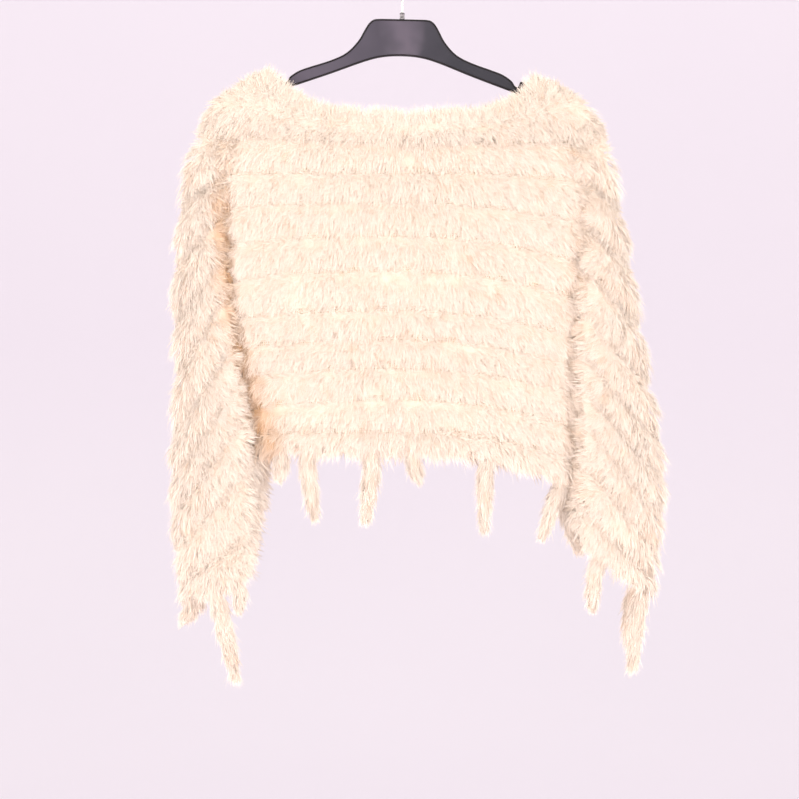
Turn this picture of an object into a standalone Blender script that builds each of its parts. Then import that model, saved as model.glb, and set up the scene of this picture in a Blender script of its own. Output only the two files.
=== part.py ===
"""A fringed poncho of rabbit-fur strips on a knitted ground, hanging on a plastic top hanger.

Metres, +Z up, the front towards -Y. The origin is where the rail bears inside the hanger's hook.
"""

import math
from collections import namedtuple

import bmesh
import bpy
from mathutils import Vector

MM = 0.001

# Cloth: the knitted ground, and the seams between pieces
KNIT_WALL = 2.5 * MM
SEAM_GAP = 0.3 * MM
NECK_DROP = 153 * MM  # centre of the neck edge, below the hanger's top edge
NECK_BAND = 31 * MM  # width of the fur band round the neck, at the centre

# Fur strips, sewn in rows along the knit: the height of each row at the centre, in millimetres
ROW_HEIGHTS = (45, 44, 51, 52, 60, 44, 42, 48, 48, 27)
BARE_KNIT = 9 * MM  # knit left open between two strips
STRIP_RISE = 16 * MM
STRIP_TOP_SHARE = 0.35  # height of a strip's upper edge, as a share of its rise
STRIP_FOOT_SHARE = 0.7  # and of its lower edge, where the pile lies down
FUR_IN_CREASE = 0.22  # share of a strip's height left at the bottom of the crease
BAND_RISE = 14 * MM
BAND_OVERHANG = 8 * MM  # of the neck band's pile above the knit's edge
HEM_MARGIN = 2 * MM  # from the last strip to the knit's edge

# Fringe: tails sewn to a narrow strip along the hem
HEM_STRIP_HEIGHT = 7 * MM
HEM_STRIP_IN_CREASE = 3 * MM
TAIL_ROOT_DEPTH = 3.5 * MM  # of a tail's root below the knit's edge, inside the strip
TAIL_THICKNESS_SHARE = 0.46

# Hanger
HOOK_RISE = 70 * MM  # from the hanger's top edge to the place that bears on the rail
HOOK_WIRE = 3 * MM
HOOK_RADIUS = 18 * MM  # to the wire's centre line
HOOK_START = math.radians(50)  # where the bend begins, round from its lowest point
HOOK_END = math.radians(245)
FERRULE_RADIUS = 4 * MM
FERRULE_HEIGHT = 10 * MM
HANGER_THICKNESS = 10 * MM
HANGER_EDGE = 2.5 * MM  # rounding of its edges
HANGER_TILT = math.radians(1.2)  # the side at +X hangs a little lower
REST_CLEARANCE = 0.4 * MM  # between the hanger's arm and the shoulder that lies on it

FUR_CREAM = (0.93, 0.80, 0.64, 1)
KNIT_CREAM = (0.86, 0.72, 0.55, 1)
HANGER_BLACK = (0.035, 0.034, 0.038, 1)
BRIGHT_STEEL = (0.75, 0.75, 0.74, 1)

# The cut, from the neck (share 0) to the hem (share 1): half widths from the centre line and drops below
# the hanger's top edge, in millimetres. "front" is where the flat middle ends, "fold" the bottom of the
# crease beside it, "crest" the inner edge of the hanging side, and "edge" the shoulder and side seam.
# "sag" is the power of a row's slope from the centre to the end of the flat middle. The first section
# ends on the hanger's arm, so its last drops follow from the arm.
Section = namedtuple(
    "Section", "share sag front_x front_drop fold_x fold_drop crest_x crest_drop edge_x edge_drop"
)
ON_ARM = 0
LEFT_CUT = (
    Section(0.000, 4, 188, 106, 196, 99, 201, ON_ARM, 206, ON_ARM),
    Section(0.020, 4, 203, 118, 217, 118, 228, 117, 243, 114),
    Section(0.040, 3, 215, 143, 234, 143, 250, 142, 277, 134),
    Section(0.063, 2, 228, 173, 249, 174, 267, 175, 295, 171),
    Section(0.154, 2, 246, 230, 267, 231, 284, 240, 318, 280),
    Section(0.244, 2, 242, 279, 264, 282, 282, 300, 327, 366),
    Section(0.453, 2, 240, 387, 261, 391, 272, 420, 328, 531),
    Section(0.665, 2, 225, 490, 246, 495, 257, 555, 331, 678),
    Section(0.848, 2, 207, 580, 229, 588, 243, 680, 327, 790),
    Section(1.000, 2, 194, 642, 224, 670, 242, 840, 315, 868),
)
RIGHT_CUT = (
    Section(0.000, 6, 188, 114, 196, 107, 201, ON_ARM, 206, ON_ARM),
    Section(0.020, 6, 203, 126, 216, 125, 226, 123, 240, 119),
    Section(0.040, 4, 217, 152, 234, 152, 249, 150, 273, 139),
    Section(0.063, 3, 234, 181, 254, 183, 268, 184, 294, 177),
    Section(0.154, 2, 253, 239, 275, 243, 288, 252, 315, 285),
    Section(0.244, 2, 249, 300, 273, 306, 289, 322, 327, 366),
    Section(0.453, 2, 240, 412, 262, 420, 282, 445, 357, 543),
    Section(0.665, 2, 238, 513, 260, 524, 281, 560, 378, 681),
    Section(0.848, 2, 237, 604, 261, 620, 282, 672, 372, 790),
    Section(1.000, 2, 231, 684, 257, 712, 278, 786, 363, 855),
)

# How far the front stands out from the middle plane, in millimetres
Depth = namedtuple("Depth", "share centre front fold_left fold_right crest")
DEPTHS = (
    Depth(0.000, 24, 10, 9, 9, 7),
    Depth(0.020, 25, 17, 16, 16, 14),
    Depth(0.040, 26, 22, 19, 19, 17),
    Depth(0.063, 28, 26, 20, 21, 19),
    Depth(0.154, 30, 31, 17, 20, 23),
    Depth(0.244, 31, 33, 15, 19, 28),
    Depth(0.453, 34, 36, 12, 17, 40),
    Depth(0.665, 37, 38, 11, 15, 48),
    Depth(0.848, 39, 40, 11, 14, 51),
    Depth(1.000, 41, 42, 12, 14, 50),
)

# The back is the same cut, a little flatter and with a shallower crease.
Face = namedtuple("Face", "name toward depth crease")
FACES = (Face("front", -1, 1.0, 1.0), Face("back", 1, 0.9, 0.65))
Side = namedtuple("Side", "name toward cut fold")
SIDES = (
    Side("left", -1, LEFT_CUT, "fold_left"),
    Side("right", 1, RIGHT_CUT, "fold_right"),
)

# Columns of a row from the centre line to the side seam
FRONT_COLUMNS = 4
FRONT_SPACING = 0.7  # below 1, they stand closer towards the crease
CREASE_COLUMNS = 2  # down into the crease, and as many out of it
LOBE_COLUMNS = 5
FOLD_AT = FRONT_COLUMNS + CREASE_COLUMNS
LAST_COLUMN = FOLD_AT + CREASE_COLUMNS + LOBE_COLUMNS

# Tails along the hem: where each hangs, in columns from the centre line, its length, width and the
# sideways lean of its tip, in millimetres.
Tail = namedtuple("Tail", "side column length width lean")
FRONT_TAILS = (
    Tail("left", 3.6, 52, 22, -4),
    Tail("left", 2.57, 108, 26, 12),
    Tail("left", 0.48, 110, 28, -12),
    Tail("right", 0.08, 50, 23, 12),
    Tail("right", 1.73, 114, 24, -4),
    Tail("right", 4.8, 88, 19, -34),
    Tail("right", 5.8, 96, 21, 16),
    Tail("right", 8.93, 84, 25, -16),
    Tail("right", 12.3, 128, 27, -15),
    Tail("left", 12.4, 42, 18, -22),
    Tail("left", 9.9, 138, 26, 34),
    Tail("left", 8.2, 50, 17, 0),
)
BACK_TAILS = (
    Tail("left", 3.6, 42, 18, -4),
    Tail("left", 2.57, 86, 21, 10),
    Tail("left", 0.48, 90, 22, -10),
    Tail("right", 1.73, 92, 20, -3),
    Tail("right", 4.8, 66, 16, -25),
    Tail("right", 8.93, 64, 19, -12),
    Tail("right", 11.6, 104, 21, -14),
    Tail("left", 11.6, 34, 16, -8),
    Tail("left", 9.9, 108, 20, 27),
)
# Shape of a tail: share of its length and of its width at each section.
TailRing = namedtuple("TailRing", "along width")
TAIL_RINGS = (
    TailRing(0.0, 0.6),
    TailRing(0.2, 0.85),
    TailRing(0.48, 1.0),
    TailRing(0.8, 0.8),
    TailRing(1.0, 0.35),
)

# Half outline of the hanger, from the middle of its top edge round to the middle of its arch:
# half width and drop, in millimetres.
Corner = namedtuple("Corner", "x drop")
HANGER_TOP_HALF = (
    Corner(0, 0),
    Corner(37, 0),
    Corner(44.5, 2),
    Corner(50.5, 8),
    Corner(56.5, 18),
    Corner(65.5, 34),
    Corner(82.5, 52),
    Corner(106.5, 64),
    Corner(142, 76),
    Corner(156, 82),
    Corner(167, 90),
    Corner(172, 98),
    Corner(177, 98),
    Corner(180, 90),
    Corner(186, 92),
    Corner(204, 101),
    Corner(212, 107),
)
HANGER_UNDER_HALF = (
    Corner(215, 112),
    Corner(213, 117),
    Corner(206, 118),
    Corner(174, 108),
    Corner(110, 85.5),
    Corner(56, 65),
    Corner(28, 57.5),
    Corner(0, 55.5),
)


def mix(a, b, t):
    return a + (b - a) * t


def ease(t):
    return t * t * (3 - 2 * t)


def smooth(rows, column, share):
    """A table's column at any share, on a smooth curve through its rows."""
    ats = [row.share for row in rows]
    values = [getattr(row, column) for row in rows]
    last = len(rows) - 1
    at = max(i for i in range(last) if ats[i] <= share)

    def slope(i):
        low, high = max(i - 1, 0), min(i + 1, last)
        return (values[high] - values[low]) / (ats[high] - ats[low])

    span = ats[at + 1] - ats[at]
    t = (share - ats[at]) / span
    return (
        mix(values[at], values[at + 1], ease(t))
        + slope(at) * span * t * (1 - t) ** 2
        - slope(at + 1) * span * t * t * (1 - t)
    )


def arm_drop(half_width, toward):
    """Drop of the top of the tilted hanger's arm at this half width, in millimetres."""
    lean = math.tan(HANGER_TILT) * toward
    arm = [
        Corner(corner.x - corner.drop * lean, corner.drop + corner.x * lean)
        for corner in HANGER_TOP_HALF
        if corner.x >= 180
    ]
    at = max(i for i in range(len(arm) - 1) if arm[i].x <= half_width)
    below, above = arm[at], arm[at + 1]
    return mix(below.drop, above.drop, (half_width - below.x) / (above.x - below.x))


def laid_on_arm(side):
    """The side's cut, with its first section laid on the hanger's arm."""
    lift = (REST_CLEARANCE + KNIT_WALL / 2) / MM
    first = side.cut[0]
    drops = {
        f"{place}_drop": arm_drop(getattr(first, f"{place}_x"), side.toward) - lift
        for place in ("crest", "edge")
    }
    return (first._replace(**drops),) + side.cut[1:]


CUTS = {side.name: laid_on_arm(side) for side in SIDES}
PANEL_DROP = NECK_BAND + sum(ROW_HEIGHTS) * MM


def row_points(face, side, share):
    """One row of the panel, from the centre line to the side seam."""
    cut = Section(share, *(smooth(CUTS[side.name], name, share) for name in Section._fields[1:]))
    centre_y, front_y, fold_y, crest_y = (
        smooth(DEPTHS, name, share) * face.depth for name in ("centre", "front", side.fold, "crest")
    )
    fold_y = mix(front_y, fold_y, face.crease)
    centre_drop = (NECK_DROP + share * PANEL_DROP) / MM

    places = []
    for i in range(FRONT_COLUMNS):
        t = (i / FRONT_COLUMNS) ** FRONT_SPACING
        drop = mix(centre_drop, cut.front_drop, t**cut.sag)
        places.append((cut.front_x * t, mix(centre_y, front_y, ease(t)), drop))
    for i in range(CREASE_COLUMNS):
        t = i / CREASE_COLUMNS
        drop = mix(cut.front_drop, cut.fold_drop, t)
        places.append((mix(cut.front_x, cut.fold_x, t), mix(front_y, fold_y, ease(t)), drop))
    for i in range(CREASE_COLUMNS):
        t = i / CREASE_COLUMNS
        drop = mix(cut.fold_drop, cut.crest_drop, t)
        places.append((mix(cut.fold_x, cut.crest_x, t), mix(fold_y, crest_y, ease(t)), drop))
    for i in range(LOBE_COLUMNS + 1):
        turn = math.pi / 2 * i / LOBE_COLUMNS
        t = math.sin(turn)
        drop = mix(cut.crest_drop, cut.edge_drop, t)
        places.append((mix(cut.crest_x, cut.edge_x, t), crest_y * math.cos(turn), drop))
    return [
        Vector((side.toward * x * MM, face.toward * max(y * MM, SEAM_GAP / 2), -HOOK_RISE - drop * MM))
        for x, y, drop in places
    ]


def strip_shares():
    """Where each strip starts and ends, as shares of the panel from neck to hem."""
    seams = [NECK_BAND]
    for height in ROW_HEIGHTS:
        seams.append(seams[-1] + height * MM)
    starts = [seam + BARE_KNIT / 2 for seam in seams[:-1]]
    ends = [seam - BARE_KNIT / 2 for seam in seams[1:-1]] + [PANEL_DROP - HEM_MARGIN]
    return [(start / PANEL_DROP, end / PANEL_DROP) for start, end in zip(starts, ends)]


STRIP_SHARES = strip_shares()
BAND_SHARES = (0.0, 0.02, 0.04, (NECK_BAND - BARE_KNIT / 2) / PANEL_DROP)
LINES = sorted({*BAND_SHARES, *(share for strip in STRIP_SHARES for share in strip), 1.0})


class Panel:
    """A panel's middle surface: its points and outward normals, by line down and column across."""

    def __init__(self, face):
        self.face = face
        left, right = SIDES
        self.points = [
            row_points(face, left, share)[:0:-1] + row_points(face, right, share) for share in LINES
        ]
        self.columns = len(self.points[0])
        self.normals = [[self.normal(i, j) for j in range(self.columns)] for i in range(len(LINES))]

    def normal(self, line, column):
        lines, columns = len(LINES) - 1, self.columns - 1
        down = self.points[min(line + 1, lines)][column] - self.points[max(line - 1, 0)][column]
        across = self.points[line][min(column + 1, columns)] - self.points[line][max(column - 1, 0)]
        normal = across.cross(down) * self.face.toward
        if column in (0, columns):
            # Front and back butt along the middle plane, so their edges are square to it
            normal.y = 0
        return normal.normalized()

    def raised(self, line, column, height):
        return self.points[line][column] + self.normals[line][column] * height


def material(name, colour, roughness, metallic=0.0):
    made = bpy.data.materials.new(name)
    made.use_nodes = True
    shader = made.node_tree.nodes["Principled BSDF"]
    shader.inputs["Base Color"].default_value = colour
    shader.inputs["Roughness"].default_value = roughness
    shader.inputs["Metallic"].default_value = metallic
    return made


def add_loft(made, rings, walled):
    """Skins a list of equal rings in a bmesh. A walled ring is an outer run and an inner run back."""
    verts = [[made.verts.new(point) for point in ring] for ring in rings]
    size = len(rings[0])
    for ring, following in zip(verts, verts[1:]):
        for i in range(size):
            k = (i + 1) % size
            # Every piece is cut across its quads the same way, so that layers stay parallel
            made.faces.new((ring[i], following[i], following[k]))
            made.faces.new((ring[i], following[k], ring[k]))
    for ring in (verts[0], verts[-1]):
        if walled:
            for i in range(size // 2 - 1):
                made.faces.new((ring[i], ring[i + 1], ring[size - 2 - i], ring[size - 1 - i]))
        else:
            made.faces.new(ring)


def mesh_of(name, lofts, walled=False):
    made = bmesh.new()
    for rings in lofts:
        add_loft(made, rings, walled)
    bmesh.ops.recalc_face_normals(made, faces=made.faces)
    mesh = bpy.data.meshes.new(name)
    made.to_mesh(mesh)
    made.free()
    return mesh


def add_piece(name, mesh, collection, finish):
    mesh.materials.append(finish)
    mesh.shade_smooth()
    mesh.set_sharp_from_angle(angle=math.radians(50))
    piece = bpy.data.objects.new(name, mesh)
    collection.objects.link(piece)
    return piece


def build_knit(panel, collection, finish):
    """The knitted ground of one face, from side seam to side seam."""
    half = KNIT_WALL / 2
    lines = range(len(LINES))
    rings = [
        [panel.raised(i, j, half) for i in lines] + [panel.raised(i, j, -half) for i in reversed(lines)]
        for j in range(panel.columns)
    ]
    name = f"{panel.face.name}_knit"
    add_piece(name, mesh_of(name, [rings], walled=True), collection, finish)


def fur_share(column):
    """How much of its height a strip keeps: the pile is pressed flat in the creases."""
    away = abs(abs(column - LAST_COLUMN) - FOLD_AT)
    return mix(FUR_IN_CREASE, 1.0, ease(min(1.0, away / (CREASE_COLUMNS + 1))))


def strip_ring(panel, start, end, column):
    """Section of a fur strip: its leather on the knit, and the pile rising over it."""
    seat = KNIT_WALL / 2 + SEAM_GAP
    height = STRIP_RISE * fur_share(column)
    middle = (panel.points[start][column] + panel.points[end][column]) / 2
    outward = (panel.normals[start][column] + panel.normals[end][column]).normalized()
    return [
        panel.raised(start, column, seat),
        panel.raised(end, column, seat),
        panel.raised(end, column, seat + height * STRIP_FOOT_SHARE),
        middle + outward * (seat + height),
        panel.raised(start, column, seat + height * STRIP_TOP_SHARE),
    ]


def build_strips(panel, collection, finish):
    """The rows of fur, from side seam to side seam."""
    for row, (start, end) in enumerate(STRIP_SHARES, 1):
        lines = (LINES.index(start), LINES.index(end))
        rings = [strip_ring(panel, *lines, j) for j in range(panel.columns)]
        name = f"fur_{panel.face.name}_{row:02d}"
        add_piece(name, mesh_of(name, [rings]), collection, finish)


def band_ring(panel, lines, column):
    """Section of the neck band: its leather on the knit, its pile leaning up over the neck edge."""
    seat = KNIT_WALL / 2 + SEAM_GAP
    height = BAND_RISE * mix(0.6, 1.0, fur_share(column))
    first, second, third, last = lines
    edge = panel.points[first][column]
    up = (edge - panel.points[second][column]).normalized()
    overhang = BAND_OVERHANG * min(1.0, abs(edge.y) / (15 * MM))
    return [panel.raised(i, column, seat) for i in lines] + [
        panel.raised(last, column, seat + height * STRIP_FOOT_SHARE),
        panel.raised(third, column, seat + height),
        panel.raised(second, column, seat + height),
        panel.raised(first, column, seat + height * 0.6) + up * overhang,
    ]


def build_neck_band(panel, collection, finish):
    lines = [LINES.index(share) for share in BAND_SHARES]
    rings = [band_ring(panel, lines, j) for j in range(panel.columns)]
    name = f"neck_band_{panel.face.name}"
    add_piece(name, mesh_of(name, [rings]), collection, finish)


def hem_frame(panel, column):
    """A place on the hem's edge, with the ways along it, down the cloth and out of it."""
    last = len(LINES) - 1
    hem = panel.points[last]
    low = min(int(column), panel.columns - 2)
    t = column - low
    place = mix(hem[low], hem[low + 1], t)
    outward = mix(panel.normals[last][low], panel.normals[last][low + 1], t).normalized()
    if t:
        along = hem[low + 1] - hem[low]
    else:
        along = hem[min(low + 1, panel.columns - 1)] - hem[max(low - 1, 0)]
    down = along.cross(outward)
    down *= math.copysign(1, -down.z)
    return place, along.normalized(), down.normalized(), outward


def tail_rings(panel, tail):
    """Four-sided sections of a tail, from its root in the hem strip to its tip."""
    toward = -1 if tail.side == "left" else 1
    place, along, down, outward = hem_frame(panel, LAST_COLUMN + toward * tail.column)
    along *= math.copysign(1, along.x)
    root = place + down * TAIL_ROOT_DEPTH
    leave = root + down * tail.length * MM * 0.3
    tip = root + Vector((tail.lean, 0, -tail.length)) * MM
    rings = []
    for ring in TAIL_RINGS:
        t = ring.along
        middle = root * (1 - t) ** 2 + leave * 2 * t * (1 - t) + tip * t * t
        settle = min(1.0, ring.along / TAIL_RINGS[2].along)
        across = mix(along, Vector((1, 0, 0)), settle).normalized()
        forward = mix(outward, Vector((0, panel.face.toward, 0)), settle).normalized()
        wide = across * tail.width * MM * ring.width / 2
        thick = forward * tail.width * MM * ring.width / 2 * TAIL_THICKNESS_SHARE
        rings.append([middle + wide, middle + thick, middle - wide, middle - thick])
    return rings


def build_fringe(panel, tails, collection, joined, finish):
    """The strip along the hem with its tails, sewn into one piece."""
    half = KNIT_WALL / 2
    rings = []
    for j in range(panel.columns):
        place, _, down, outward = hem_frame(panel, j)
        if j in (0, panel.columns - 1):
            down = Vector((down.x, 0, down.z)).normalized()
        height = HEM_STRIP_IN_CREASE if abs(j - LAST_COLUMN) == FOLD_AT else HEM_STRIP_HEIGHT
        high, low = place + down * SEAM_GAP, place + down * height
        thick = outward * half
        rings.append([high + thick, high - thick, low - thick, low + thick])
    name = f"fringe_{panel.face.name}"
    strip = add_piece(name, mesh_of(name, [rings]), collection, finish)

    tails_name = f"tails_{panel.face.name}"
    tails_mesh = mesh_of(tails_name, [tail_rings(panel, tail) for tail in tails])
    hanging = bpy.data.objects.new(tails_name, tails_mesh)
    hanging.hide_render = True
    hanging.display_type = "WIRE"
    joined.objects.link(hanging)
    sewn_on = strip.modifiers.new("sewn_on", "BOOLEAN")
    sewn_on.operation = "UNION"
    sewn_on.solver = "EXACT"
    sewn_on.object = hanging


def add_curve(name, points, dimensions, collection, finish):
    curve = bpy.data.curves.new(name, "CURVE")
    curve.dimensions = dimensions
    spline = curve.splines.new("POLY")
    spline.points.add(len(points) - 1)
    for point, place in zip(spline.points, points):
        point.co = (*place, 1)
    curve.materials.append(finish)
    piece = bpy.data.objects.new(name, curve)
    collection.objects.link(piece)
    return piece


def build_hanger_body(collection, finish):
    """Moulded body with a strap notch near each tip."""
    half = HANGER_TOP_HALF + HANGER_UNDER_HALF
    outline = [(corner.x * MM, -corner.drop * MM, 0) for corner in half]
    outline += [(-corner.x * MM, -corner.drop * MM, 0) for corner in reversed(half[1:-1])]
    body = add_curve("hanger_body", outline, "2D", collection, finish)
    body.data.splines[0].use_cyclic_u = True
    body.data.fill_mode = "BOTH"
    body.data.extrude = HANGER_THICKNESS / 2 - HANGER_EDGE
    body.data.bevel_depth = HANGER_EDGE
    body.data.bevel_resolution = 1
    body.data.offset = -HANGER_EDGE
    body.location = (0, 0, -HOOK_RISE)
    body.rotation_euler = (math.pi / 2, HANGER_TILT, 0)


def build_ferrule(collection, finish):
    """Metal ferrule that holds the hook in the hanger's top edge."""
    bpy.ops.mesh.primitive_cylinder_add(
        vertices=16,
        radius=FERRULE_RADIUS,
        depth=FERRULE_HEIGHT,
        location=(0, 0, -HOOK_RISE + FERRULE_HEIGHT / 2 + SEAM_GAP),
    )
    ferrule = bpy.context.object
    ferrule.name = "hanger_ferrule"
    ferrule.rotation_euler = (0, HANGER_TILT, 0)
    ferrule.data.materials.append(finish)
    for holder in ferrule.users_collection:
        holder.objects.unlink(ferrule)
    collection.objects.link(ferrule)


def build_hook(collection, finish):
    """Wire that rises from the ferrule, swings out and bends over the rail."""
    middle = Vector((0, 0, HOOK_WIRE / 2 - HOOK_RADIUS))

    def bend(angle):
        return middle + Vector((math.sin(angle), 0, -math.cos(angle))) * HOOK_RADIUS

    foot = Vector((0, 0, -HOOK_RISE + FERRULE_HEIGHT + 2 * SEAM_GAP))
    meet = bend(HOOK_START)
    arrive = meet - Vector((math.cos(HOOK_START), 0, math.sin(HOOK_START))) * HOOK_RADIUS * 0.4
    stem_top = Vector((0, 0, meet.z - HOOK_RADIUS))
    leave = stem_top + Vector((0, 0, HOOK_RADIUS * 0.5))
    points = [foot]
    steps = 6
    for i in range(steps):
        t = i / steps
        first, second = mix(stem_top, leave, t), mix(leave, arrive, t)
        third = mix(arrive, meet, t)
        points.append(mix(mix(first, second, t), mix(second, third, t), t))
    turns = 14
    points += [bend(mix(HOOK_START, HOOK_END, i / turns)) for i in range(turns + 1)]
    hook = add_curve("hook", points, "3D", collection, finish)
    hook.data.bevel_depth = HOOK_WIRE / 2
    hook.data.bevel_resolution = 2
    hook.data.use_fill_caps = True


for old in list(bpy.data.objects):
    bpy.data.objects.remove(old)
poncho = bpy.data.collections.new("fringed_poncho")
joined_pieces = bpy.data.collections.new("joined_pieces")
for added in (poncho, joined_pieces):
    bpy.context.scene.collection.children.link(added)

rabbit_fur = material("rabbit_fur", FUR_CREAM, 0.95)
cotton_knit = material("cotton_knit", KNIT_CREAM, 0.9)
black_plastic = material("black_plastic", HANGER_BLACK, 0.45)
bright_steel = material("bright_steel", BRIGHT_STEEL, 0.25, 1.0)

for face, face_tails in zip(FACES, (FRONT_TAILS, BACK_TAILS)):
    panel = Panel(face)
    build_knit(panel, poncho, cotton_knit)
    build_strips(panel, poncho, rabbit_fur)
    build_neck_band(panel, poncho, rabbit_fur)
    build_fringe(panel, face_tails, poncho, joined_pieces, rabbit_fur)
build_hanger_body(poncho, black_plastic)
build_ferrule(poncho, bright_steel)
build_hook(poncho, bright_steel)
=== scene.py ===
import math

import bpy
import numpy as np
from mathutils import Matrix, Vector


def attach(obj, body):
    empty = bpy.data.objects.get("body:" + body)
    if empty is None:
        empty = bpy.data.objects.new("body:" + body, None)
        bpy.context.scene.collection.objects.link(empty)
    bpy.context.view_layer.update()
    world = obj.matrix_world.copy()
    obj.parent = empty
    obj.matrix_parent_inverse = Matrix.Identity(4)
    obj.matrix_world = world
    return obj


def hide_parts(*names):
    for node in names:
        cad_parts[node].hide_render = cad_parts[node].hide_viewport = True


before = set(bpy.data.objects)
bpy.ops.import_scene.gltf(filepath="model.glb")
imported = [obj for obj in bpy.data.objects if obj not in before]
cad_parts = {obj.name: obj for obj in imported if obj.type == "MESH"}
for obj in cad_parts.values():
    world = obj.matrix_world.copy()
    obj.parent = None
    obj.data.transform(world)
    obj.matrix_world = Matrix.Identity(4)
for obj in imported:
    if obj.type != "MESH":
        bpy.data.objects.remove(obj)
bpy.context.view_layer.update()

# Hanger body: a top hanger moulded in one piece from black polypropylene, with a flat web inside a low
# rim, a sloping arm each side and a strap notch near each tip. The garment's neck rests on its arms.
MM = 0.001
HANGER_TOP = -70 * MM
HANGER_THICKNESS = 10 * MM
HANGER_TILT = math.radians(1.2)
HANGER_EDGE = 1.0 * MM
HANGER_RIM = 2.0 * MM
HALF_OUTLINE = (
    (0, 0), (20, 0), (37, 0.3), (44.5, 2.3), (50.5, 8), (56.5, 18), (65.5, 34), (82.5, 52), (106.5, 64),
    (142, 76), (156, 82), (167, 90), (172, 97.5), (177, 97.5), (180, 90.5), (186, 92.2), (204, 101.3),
    (211.5, 107), (214.5, 112), (212.7, 116.7), (206, 117.6), (174, 108), (110, 85.5), (56, 65),
    (28, 57.5), (0, 55.5),
)


def linear(code):
    """A colour's sRGB hex code as linear light."""
    parts = [int(code[i:i + 2], 16) / 255 for i in (1, 3, 5)]
    return (*[c / 12.92 if c <= 0.04045 else ((c + 0.055) / 1.055) ** 2.4 for c in parts], 1)


def new_material(name):
    made = bpy.data.materials.new(name)
    made.use_nodes = True
    return made, made.node_tree.nodes["Principled BSDF"]


def add_node(made, kind, inputs=None, links=None, **settings):
    """A node with its settings, its inputs' values and the sockets that feed it."""
    node = made.node_tree.nodes.new(kind)
    for setting, value in settings.items():
        setattr(node, setting, value)
    for socket, value in (inputs or {}).items():
        node.inputs[socket].default_value = value
    for socket, source in (links or {}).items():
        made.node_tree.links.new(source, node.inputs[socket])
    return node


def feed(made, source, node, socket):
    made.node_tree.links.new(source, node.inputs[socket])


def finish_piece(piece, name, surface, slot, *nodes):
    """Names a piece, settles its place into its mesh, and ties it to the solids that it stands for."""
    piece.name = name
    bpy.ops.object.select_all(action="DESELECT")
    piece.select_set(True)
    bpy.context.view_layer.objects.active = piece
    bpy.ops.object.transform_apply(location=True, rotation=True, scale=True)
    piece.data.materials.clear()
    piece.data.materials.append(surface)
    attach(piece, "root")
    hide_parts(*nodes)
    return piece


def rounded(corners, steps):
    """A closed outline's corners joined by a smooth curve through all of them."""
    ring = np.array(corners, float)
    before, after, second = (np.roll(ring, shift, axis=0) for shift in (1, -1, -2))
    t = (np.arange(steps) / steps)[None, :, None]
    a, b, c, d = (points[:, None, :] for points in (before, ring, after, second))
    curve = b + 0.5 * t * (c - a + t * (2 * a - 5 * b + 4 * c - d + t * (3 * (b - c) + d - a)))
    return curve.reshape(-1, 2)


# Moulded polypropylene: dark, with a satin skin and the faint grain of a spark-eroded mould. Its rim and
# edges keep the plastic's own near-black. Its flat faces are painted paler as a painted reflection of the
# studio light, paler still on the left arm as painted light falling from that side, with a painted sheen at
# the middle.
satin_polypropylene, shader = new_material("satin_black_polypropylene")
coords = add_node(satin_polypropylene, "ShaderNodeTexCoord")
grain = add_node(
    satin_polypropylene, "ShaderNodeTexNoise", {"Scale": 1 / (1.2 * MM), "Detail": 3.0},
    {"Vector": coords.outputs["Object"]},
)
clouds = add_node(
    satin_polypropylene, "ShaderNodeTexNoise", {"Scale": 1 / (45 * MM), "Detail": 2.0},
    {"Vector": coords.outputs["Object"]},
)
place = add_node(satin_polypropylene, "ShaderNodeSeparateXYZ", links={"Vector": coords.outputs["Object"]})
drift = add_node(
    satin_polypropylene, "ShaderNodeMath", {1: 60 * MM, 2: -30 * MM}, {0: clouds.outputs["Fac"]},
    operation="MULTIPLY_ADD",
)
across = add_node(
    satin_polypropylene, "ShaderNodeMath", links={0: place.outputs["X"], 1: drift.outputs["Value"]},
    operation="ADD",
)
# Painted light: the faces run from pale on the left arm to dark on the right, as if lit from the left.
arm = add_node(
    satin_polypropylene, "ShaderNodeMapRange", {"From Min": -150 * MM, "From Max": 80 * MM},
    {"Value": across.outputs["Value"]},
)
tone = add_node(
    satin_polypropylene, "ShaderNodeMix", links={"Factor": arm.outputs["Result"]}, data_type="RGBA"
)
tone.inputs[6].default_value = linear("#544d5b")
tone.inputs[7].default_value = linear("#2d2c35")
off_middle = add_node(
    satin_polypropylene, "ShaderNodeMath", links={0: across.outputs["Value"]}, operation="ABSOLUTE"
)
# Painted reflection: a paler sheen is painted on the faces at the middle of the bridge.
middle = add_node(
    satin_polypropylene, "ShaderNodeMapRange", {"From Min": 34 * MM, "From Max": 0.0, "To Max": 0.7},
    {"Value": off_middle.outputs["Value"]}, interpolation_type="SMOOTHSTEP",
)
painted_middle_sheen = add_node(
    satin_polypropylene, "ShaderNodeMix",
    links={"Factor": middle.outputs["Result"], 6: tone.outputs[2]}, data_type="RGBA",
)
painted_middle_sheen.inputs[7].default_value = linear("#645b69")
depth = add_node(satin_polypropylene, "ShaderNodeMath", links={0: place.outputs["Y"]}, operation="ABSOLUTE")
off_face = add_node(
    satin_polypropylene, "ShaderNodeMath", {1: HANGER_THICKNESS / 2}, {0: depth.outputs["Value"]},
    operation="SUBTRACT",
)
off_face = add_node(
    satin_polypropylene, "ShaderNodeMath", links={0: off_face.outputs["Value"]}, operation="ABSOLUTE"
)
edging = add_node(
    satin_polypropylene, "ShaderNodeMapRange", {"From Min": 0.05 * MM, "From Max": 0.2 * MM},
    {"Value": off_face.outputs["Value"]},
)
skin = add_node(
    satin_polypropylene, "ShaderNodeMix",
    links={"Factor": edging.outputs["Result"], 6: painted_middle_sheen.outputs[2]}, data_type="RGBA",
)
skin.inputs[7].default_value = linear("#1a1518")
polish = add_node(
    satin_polypropylene, "ShaderNodeMapRange", {"To Min": 0.30, "To Max": 0.44},
    {"Value": clouds.outputs["Fac"]},
)
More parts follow.
